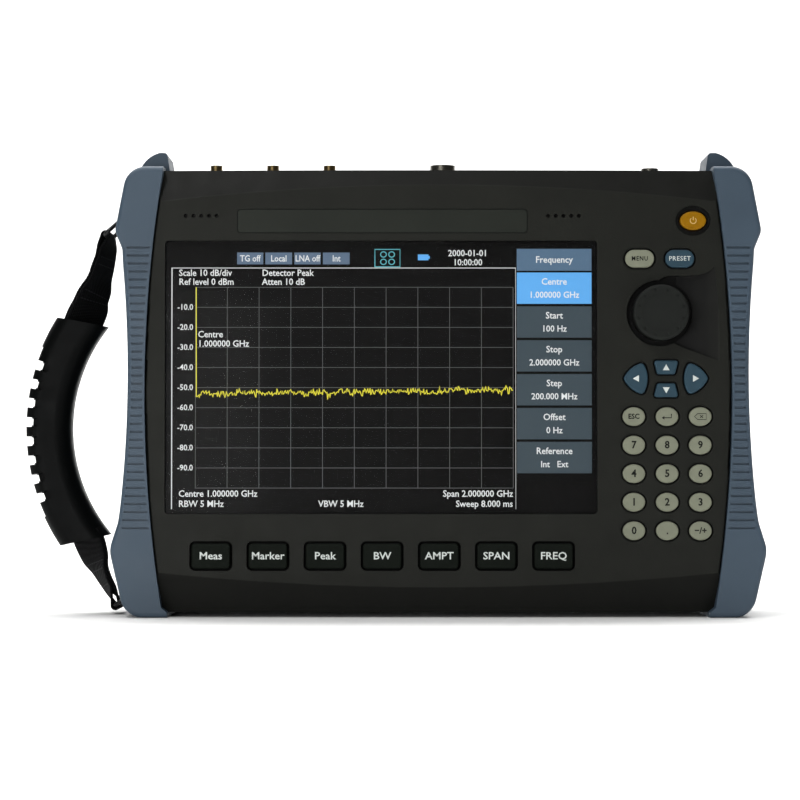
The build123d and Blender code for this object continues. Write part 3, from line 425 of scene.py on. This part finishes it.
for node in DIGIT_KEYS:
    key_print(node, node[-1], 5.3, INK_DARK_AND_SEAM_SHADE, "key_beige", bold=0.14, squeeze=0.95)
key_print("key_point", ".", 5.3, INK_DARK_AND_SEAM_SHADE, "key_beige", bold=0.14, squeeze=0.95)
key_print("key_escape", "ESC", 3.6, INK_DARK_AND_SEAM_SHADE, "key_beige", bold=0.1, squeeze=0.98)
key_print("key_sign", "−/+", 4.4, INK_DARK_AND_SEAM_SHADE, "key_beige", bold=0.12)
key_print("menu_key", "MENU", 3.2, INK_DARK_AND_SEAM_SHADE, "key_beige", bold=0.07, squeeze=0.86, spacing=1.2)
key_print("preset_key", "PRESET", 3.3, INK_LIGHT, "key_blue", bold=0.02, squeeze=0.98, spacing=1.12)
for node, words in zip(SOFT_KEYS, SOFT_LABELS):
    key_print(node, words, 5.3, INK_LIGHT, "key_black", bold=0.07, squeeze=1.08)


def key_mark(node, strokes, width, material, closed=()):
    """Line symbol on a key: strokes and filled outlines of (x, z) points about the key's centre."""
    x, y, z = front_centre(node)
    bm = bmesh.new()
    for points in strokes:
        stroke(bm, [(x + dx, z + dz) for dx, dz in points], width, y - MARK_DEPTH, y)
    for points in closed:
        prism(bm, [(x + dx, z + dz) for dx, dz in points], y - MARK_DEPTH, y)
    piece(node + "_mark", mesh_from(bm, node + "_mark"), material, node)


enter_line = [(2.2, 1.4), (2.2, -0.6), (-1.6, -0.6)]
enter_head = [(-2.8, -0.6), (-1.4, 0.3), (-1.4, -1.5)]
key_mark("key_enter", [enter_line], 0.5, INK_DARK_AND_SEAM_SHADE, closed=[enter_head])
tag = [(-1.4, 1.5), (3.0, 1.5), (3.0, -1.5), (-1.4, -1.5), (-3.0, 0), (-1.4, 1.5)]
cross = [[(-0.2, 0.7), (1.4, -0.7)], [(-0.2, -0.7), (1.4, 0.7)]]
key_mark("key_backspace", [tag] + cross, 0.35, INK_DARK_AND_SEAM_SHADE)
triangle = [(-1.75, -1.5), (1.75, -1.5), (0, 1.6)]
for node, turns in QUARTER_TURNS.items():
    c, s = cos(turns * pi / 2), sin(turns * pi / 2)
    outline = [(c * a - s * b, s * a + c * b) for a, b in triangle]
    key_mark(node, [], 0, INK_LIGHT, closed=[outline])
power_arc = [(1.55 * sin(radians(a)), 1.55 * cos(radians(a))) for a in range(40, 321, 20)]
key_mark("power_button", [power_arc, [(0, 0.2), (0, 2.0)]], 0.45, INK_CREAM)


# ------------------------------------------------------------------ webbing of the hand strap

WEB_WIDTH, WEB_THICK = 24.0, 1.5
EDGE_STEPS, FACE_STEPS, PATH_STEPS = 4, 8, 4
BAR_RADIUS, BAR_GAP = 1.1, 0.15
LAYER_GAP = 0.1  # from the path to either layer
OPENING_STEPS = 5  # steps in which the two layers part before the bar
STITCHES, STITCH_SPREAD, STITCH_GAP = 9, 0.8, 0.12
STITCH_HALVES = (0.8, 0.3, 0.15)  # across, along and out of the webbing
BLOCK_FACES = ((0, 1, 3, 2), (4, 6, 7, 5), (0, 4, 5, 1), (2, 3, 7, 6), (0, 2, 6, 4), (1, 5, 7, 3))
# (x, z, twist in degrees) from inside the grip's mouth to the ring's bar
UPPER_WEB = [(-188.0, 146.5, 45), (-185.7, 152.7, 45), (-183.4, 157.9, 42), (-182.0, 163.2, 34),
             (-179.6, 168.5, 28), (-178.0, 173.8, 19), (-176.6, 179.1, 17), (-175.2, 184.4, 14),
             (-174.4, 189.6, 12), (-173.76, 195.74, 0)]
LOWER_WEB = [(-185.0, 40.0, 43), (-182.6, 33.8, 43), (-179.7, 25.9, 36), (-177.5, 20.6, 24),
             (-174.9, 15.3, 19), (-171.9, 10.0, 15), (-168.1, 2.38, 0)]


def smooth_path(points, steps):
    """Catmull-Rom curve through the points, each a tuple of numbers."""
    points = np.array(points, float)
    ends = np.vstack((2 * points[0] - points[1], points, 2 * points[-1] - points[-2]))
    made = []
    for i in range(len(points) - 1):
        a, b, c, d = ends[i:i + 4]
        for t in np.linspace(0, 1, steps, endpoint=False):
            made.append(0.5 * (2 * b + (c - a) * t + (2 * a - 5 * b + 4 * c - d) * t ** 2
                               + (3 * b - a - 3 * c + d) * t ** 3))
    return np.array(made + [points[-1]])


def web_section():
    """Ribbon section as (across, through) points: flat faces and round edges."""
    half, radius = WEB_WIDTH / 2 - WEB_THICK / 2, WEB_THICK / 2
    turns = [radians(-90 + 180 * i / EDGE_STEPS) for i in range(EDGE_STEPS + 1)]
    right = [(half + radius * cos(t), radius * sin(t)) for t in turns]
    top = [(half - 2 * half * i / FACE_STEPS, radius) for i in range(1, FACE_STEPS)]
    left = [(-half - radius * cos(t), -radius * sin(t)) for t in turns]
    low = [(-half + 2 * half * i / FACE_STEPS, -radius) for i in range(1, FACE_STEPS)]
    return right + top + left + low


def web_frame(path, i):
    """Point, width, thickness and running directions of a twisted path at station i."""
    before, after = path[max(i - 1, 0)], path[min(i + 1, len(path) - 1)]
    along = Vector((after[0] - before[0], 0, after[1] - before[1])).normalized()
    normal = Vector((along.z, 0, -along.x))
    twist = radians(path[i][2])
    depth = Vector((0, 1, 0))
    point = Vector((path[i][0], 0, path[i][1]))
    across = normal * sin(twist) + depth * cos(twist)
    through = normal * cos(twist) - depth * sin(twist)
    return point, across, through, along


def web_loop(bm, stations):
    """Ribbon that runs out to the ring's bar, round it and back, as one closed strip."""
    path = smooth_path(stations, PATH_STEPS)
    flat_lift = WEB_THICK / 2 + LAYER_GAP
    bar_lift = BAR_RADIUS + WEB_THICK / 2 + BAR_GAP
    last = len(path) - 1
    out, back = [], []
    for i in range(len(path)):
        point, across, through, along = web_frame(path, i)
        near = max(0.0, 1 - (last - i) / OPENING_STEPS)
        lift = flat_lift + (bar_lift - flat_lift) * near
        out.append((point + through * lift, across, through))
        back.insert(0, (point - through * lift, across, -through))
    turn = []
    for angle in range(22, 159, 17):
        outward = through * cos(radians(angle)) + along * sin(radians(angle))
        turn.append((point + outward * bar_lift, across, outward))
    rings = []
    for point, across, through in out + turn + back:
        rings.append([bm.verts.new((point + across * u + through * v) * MM) for u, v in web_section()])
    for one, two in zip(rings, rings[1:]):
        for i in range(len(one)):
            j = (i + 1) % len(one)
            bm.faces.new((one[i], one[j], two[j], two[i]))
    bm.faces.new(list(reversed(rings[0])))
    bm.faces.new(rings[-1])
    return path


def stitch(bm, centre, directions):
    """One thread stitch: a small closed block with the given directions."""
    corners = []
    for signs in product((-1, 1), repeat=3):
        reach = [d * half * sign for d, half, sign in zip(directions, STITCH_HALVES, signs)]
        corners.append(bm.verts.new((centre + reach[0] + reach[1] + reach[2]) * MM))
    for face in BLOCK_FACES:
        bm.faces.new([corners[i] for i in face])


def stitch_rows(bm, path, spots):
    """Rows of thread stitches on both faces, each spot a fraction of the path's length."""
    for spot in spots:
        point, across, through, along = web_frame(path, int(spot * (len(path) - 1)))
        for side in (1, -1):
            surface = point + through * side * (WEB_THICK + STITCH_GAP)
            for k in range(STITCHES):
                place = WEB_WIDTH * STITCH_SPREAD * (k / (STITCHES - 1) - 0.5)
                stitch(bm, surface + across * place, (across, along, through))


web, thread = bmesh.new(), bmesh.new()
for stations, spots in ((UPPER_WEB, (0.33, 0.39, 0.72, 0.78)), (LOWER_WEB, (0.4, 0.5, 0.75))):
    stitch_rows(thread, web_loop(web, stations), spots)
webbing = piece("strap_webbing_woven", mesh_from(web, "strap_webbing_woven"), WEBBING,
                "strap", smooth=True)
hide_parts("strap_webbing")
piece("strap_stitching", mesh_from(thread, "strap_stitching"), THREAD, "strap")


# ------------------------------------------------------------------ picture on the display

# layers of the picture, from the display's face outwards
UI_FACE = -35.0
UI_BACK = -35.03
UI_MID = -35.06
UI_FRONT = -35.10
UI_PRINT_DEPTH = 0.03
WHITE = lamp("ui_white", linear(235, 238, 238), 1.0)
GREY = lamp("ui_grid", linear(112, 114, 114), 0.7)
YELLOW = lamp("ui_trace", linear(240, 232, 60), 1.0)
TAG = lamp("ui_tag", linear(104, 127, 154), 0.7)
SLATE = lamp("ui_slate", linear(66, 82, 91), 0.7)
HEADER = lamp("ui_header", linear(92, 122, 150), 0.8)
PICKED = lamp("ui_picked", linear(98, 178, 246), 1.0)
TEAL = lamp("ui_teal", linear(104, 196, 208), 0.9)

GRID_LEFT, GRID_RIGHT, GRID_TOP, GRID_LOW = -124.6, 38.5, 166.7, 63.6
DIVISIONS, GRID_HALF = 10, 0.13
FRAME_LEFT, FRAME_RIGHT, FRAME_TOP, FRAME_LOW = -136.5, 39.9, 176.8, 52.8
MENU_LEFT, MENU_RIGHT, MENU_TOP, MENU_STEP, MENU_BOX = 40.4, 78.8, 174.3, 17.4, 16.1
MENU_MIDDLE = (MENU_LEFT + MENU_RIGHT) / 2
HEADER_LOW, HEADER_TOP, TITLE_DROP, VALUE_DROP = 175.2, 186.5, 4.8, 11.6
TAG_LOW, TAG_TOP = 178.5, 184.6
BIG_TEXT, READING_TEXT, SMALL_TEXT, SCALE_TEXT = 4.8, 4.7, 4.6, 4.2


def screen_box(bm, x0, x1, z0, z1):
    """Flat filled rectangle on the display's face."""
    slab(bm, x0, x1, z0, z1, UI_BACK, UI_FACE)


def screen_piece(name, bm, material):
    return piece(name, mesh_from(bm, name), material, "case")


def screen_text(name, words, size, x, z, material=WHITE, align="LEFT", bold=0.055, squeeze=0.95):
    lettering("ui_" + name, words, size, x, z, UI_FRONT + UI_PRINT_DEPTH, material, "case",
              "display_black", bold=bold, align=align, squeeze=squeeze, depth=UI_PRINT_DEPTH)


bm = bmesh.new()
for i in range(DIVISIONS + 1):
    x = GRID_LEFT + (GRID_RIGHT - GRID_LEFT) * i / DIVISIONS
    z = GRID_LOW + (GRID_TOP - GRID_LOW) * i / DIVISIONS
    screen_box(bm, x - GRID_HALF, x + GRID_HALF, GRID_LOW, GRID_TOP)
    slab(bm, GRID_LEFT, GRID_RIGHT, z - GRID_HALF, z + GRID_HALF, UI_BACK - 0.004, UI_FACE)
screen_piece("ui_graticule", bm, GREY)

bm = bmesh.new()
screen_box(bm, FRAME_LEFT, FRAME_RIGHT, FRAME_TOP - 0.35, FRAME_TOP)
screen_box(bm, FRAME_LEFT - 0.5, FRAME_LEFT, FRAME_LOW, FRAME_TOP)
screen_box(bm, FRAME_RIGHT - 0.2, FRAME_RIGHT, FRAME_LOW, FRAME_TOP)
screen_piece("ui_border", bm, WHITE)

# the trace: a noise floor that rises slowly, after the line at zero frequency
TRACE_POINTS, TRACE_START, TRACE_END, TRACE_SWING, TRACE_WIDTH = 420, 111.8, 114.0, 0.95, 0.45
rng = np.random.default_rng(8)
fine = rng.normal(0, 1.0, TRACE_POINTS)
slow = np.convolve(rng.normal(0, 1.6, TRACE_POINTS), np.ones(5) / 5, "same")
level = np.linspace(TRACE_START, TRACE_END, TRACE_POINTS) + (fine + 0.5 * slow) * TRACE_SWING
xs = np.linspace(GRID_LEFT + 0.4, GRID_RIGHT - 0.2, TRACE_POINTS)
zero_line = [(GRID_LEFT + 0.3, GRID_TOP), (GRID_LEFT + 0.45, 112.0)]
bm = bmesh.new()
stroke(bm, zero_line + list(zip(xs.tolist(), level.tolist())), TRACE_WIDTH, UI_FRONT, UI_MID)
screen_piece("ui_trace", bm, YELLOW)

# status tags: words, their place, left and right edge
tags = (("TG off", -96.6, -103.3, -89.9), ("Local", -81.9, -88.8, -75.1),
        ("LNA off", -67.1, -73.9, -60.4), ("Int", -52.3, -59.2, -45.5))
bm = bmesh.new()
for words, x, left, right in tags:
    screen_box(bm, left, right, TAG_LOW, TAG_TOP)
screen_piece("ui_tags", bm, TAG)
for words, x, left, right in tags:
    screen_text("tag_" + words.replace(" ", "_"), words, SMALL_TEXT, x, 181.4, align="CENTER",
                squeeze=0.85)

# status icons: four rings in a frame, and a battery
ICON_X, ICON_Z, ICON_LINE = -26.0, 181.7, 0.5
bm = bmesh.new()
for dx, dz in product((-2.1, 2.1), (-1.9, 1.9)):
    ring = [(ICON_X + dx + 1.5 * cos(radians(a)), ICON_Z + dz + 1.4 * sin(radians(a)))
            for a in range(0, 361, 30)]
    stroke(bm, ring, ICON_LINE, UI_BACK, UI_FACE)
left, right, low, high = -32.5, -19.6, 177.2, 186.2
icon_frame = [(left, low), (right, low), (right, high), (left, high), (left, low)]
stroke(bm, icon_frame, ICON_LINE, UI_BACK, UI_FACE)
screen_piece("ui_mode_icon", bm, TEAL)
bm = bmesh.new()
screen_box(bm, -10.4, -5.0, 180.6, 183.6)
screen_box(bm, -5.0, -4.3, 181.4, 182.8)
screen_piece("ui_battery_icon", bm, PICKED)

screen_text("date", "2000-01-01", SMALL_TEXT, 15.2, 184.1, align="CENTER")
screen_text("time", "10:00:00", SMALL_TEXT, 15.2, 179.4, align="CENTER")

# soft menu on the right
bm = bmesh.new()
screen_box(bm, MENU_LEFT, MENU_RIGHT, HEADER_LOW, HEADER_TOP)
screen_piece("ui_menu_header", bm, HEADER)
screen_text("menu_title", "Frequency", BIG_TEXT, MENU_MIDDLE, 180.8, align="CENTER")
entries = (("Centre", "1.000000 GHz"), ("Start", "100 Hz"), ("Stop", "2.000000 GHz"),
           ("Step", "200.000 MHz"), ("Offset", "0 Hz"), ("Reference", "Int   Ext"))
picked, slate = bmesh.new(), bmesh.new()
for i, (title, value) in enumerate(entries):
    top = MENU_TOP - i * MENU_STEP
    screen_box(slate if i else picked, MENU_LEFT, MENU_RIGHT, top - MENU_BOX, top)
    screen_text(f"menu_{i}_title", title, BIG_TEXT, MENU_MIDDLE, top - TITLE_DROP, align="CENTER")
    screen_text(f"menu_{i}_value", value, SMALL_TEXT, MENU_MIDDLE, top - VALUE_DROP, align="CENTER")
screen_piece("ui_menu_picked", picked, PICKED)
screen_piece("ui_menu_boxes", slate, SLATE)

# readings round the graticule, set flush right at the two edges and flush left in the columns
SCALE_EDGE, LEFT_COLUMN, SECOND_COLUMN, MARKER_COLUMN, VBW_COLUMN, RIGHT_EDGE = (
    -125.8, -133.2, -90.5, -123.4, -61.5, 38.3)
UPPER_ROW, SECOND_ROW, CENTRE_ROW, SWEEP_ROW = 174.0, 169.4, 60.6, 55.4
for i in range(1, DIVISIONS):
    z = GRID_TOP - (GRID_TOP - GRID_LOW) * i / DIVISIONS
    screen_text(f"scale_{i}", f"-{i}0.0", SCALE_TEXT, SCALE_EDGE, z, align="RIGHT")
for name, words, x, z in (
    ("scale", "Scale 10 dB/div", LEFT_COLUMN, UPPER_ROW),
    ("reference", "Ref level 0 dBm", LEFT_COLUMN, SECOND_ROW),
    ("detector", "Detector Peak", SECOND_COLUMN, UPPER_ROW),
    ("attenuation", "Atten 10 dB", SECOND_COLUMN, SECOND_ROW),
    ("marker_title", "Centre", MARKER_COLUMN, 142.4),
    ("marker_value", "1.000000 GHz", MARKER_COLUMN, 137.6),
    ("centre", "Centre 1.000000 GHz", LEFT_COLUMN, CENTRE_ROW),
    ("rbw", "RBW 5 MHz", LEFT_COLUMN, SWEEP_ROW),
    ("vbw", "VBW 5 MHz", VBW_COLUMN, SWEEP_ROW),
    ("span", "Span 2.000000 GHz", RIGHT_EDGE, CENTRE_ROW),
    ("sweep", "Sweep 8.000 ms", RIGHT_EDGE, SWEEP_ROW),
):
    screen_text(name, words, READING_TEXT, x, z, align="RIGHT" if x == RIGHT_EDGE else "LEFT")


# ------------------------------------------------------------------ camera, floor and lights

CAMERA_DISTANCE = 1.262
CAMERA_PITCH = 1.4
VIEW_WIDTH = 0.4096
SENSOR_WIDTH = 36.0
AIM = Vector((-0.0196, -0.038, 0.1087))

camera_data = bpy.data.cameras.new("camera")
camera_data.sensor_width = SENSOR_WIDTH
camera_data.lens = SENSOR_WIDTH * CAMERA_DISTANCE / VIEW_WIDTH
camera_data.clip_start = 0.05
camera = bpy.data.objects.new("camera", camera_data)
scene.collection.objects.link(camera)
pitch = radians(CAMERA_PITCH)
camera.location = AIM + Vector((0, -cos(pitch), -sin(pitch))) * CAMERA_DISTANCE
camera.rotation_euler = (pi / 2 + pitch, 0, 0)
scene.camera = camera

# floor that sweeps up into a wall, all in metres
FLOOR_FRONT, FLOOR_BACK, FLOOR_SIDE, WALL_TOP, SWEEP = -2.2, 0.9, 3.0, 3.2, 0.6
floor_z = cad_bounds[0][2]
bm = bmesh.new()
profile = [(FLOOR_FRONT, floor_z), (FLOOR_BACK, floor_z)]
profile += [(FLOOR_BACK + SWEEP * sin(radians(a)), floor_z + SWEEP * (1 - cos(radians(a))))
            for a in range(10, 91, 10)]
profile.append((FLOOR_BACK + SWEEP, WALL_TOP))
rows = [[bm.verts.new((x, y, z)) for y, z in profile] for x in (-FLOOR_SIDE, FLOOR_SIDE)]
for i in range(len(profile) - 1):
    bm.faces.new((rows[0][i], rows[0][i + 1], rows[1][i + 1], rows[1][i]))
stage_mesh = mesh_from(bm, "studio_sweep")
stage_mesh.polygons.foreach_set("use_smooth", [True] * len(stage_mesh.polygons))
backdrop = bpy.data.objects.new("studio_sweep", stage_mesh)
scene.collection.objects.link(backdrop)
paper = moulded("studio_paper", linear(238, 238, 237), 0.9, relief=0.0, blotch=0.8, contrast=0.01)
stage_mesh.materials.append(paper)


def softbox(name, location, target, size, power):
    """Rectangular area light that faces its target, in metres and watts."""
    data = bpy.data.lights.new(name, "AREA")
    data.shape, data.size, data.size_y = "RECTANGLE", size[0], size[1]
    data.energy = power
    light = bpy.data.objects.new(name, data)
    scene.collection.objects.link(light)
    light.location = location
    light.rotation_euler = (Vector(target) - Vector(location)).to_track_quat("-Z", "Y").to_euler()


world = bpy.data.worlds.new("studio")
world.use_nodes = True
background = world.node_tree.nodes["Background"]
background.inputs["Color"].default_value = (1, 1, 1, 1)
background.inputs["Strength"].default_value = 0.07
scene.world = world
scene.view_settings.view_transform = "Standard"
softbox("overhead", (0, 0.7, 2.2), (0, 0.6, 0), (3.4, 2.6), 80)
softbox("wall_wash", (0, 0.4, 1.9), (0, 1.5, 0.7), (2.6, 0.5), 45)
softbox("front_fill", (-0.55, -1.45, 0.02), (0, 0, 0.11), (0.8, 0.5), 10)
softbox("key_light", (-0.4, -0.95, 1.15), (0, 0, 0.1), (0.22, 0.2), 6)
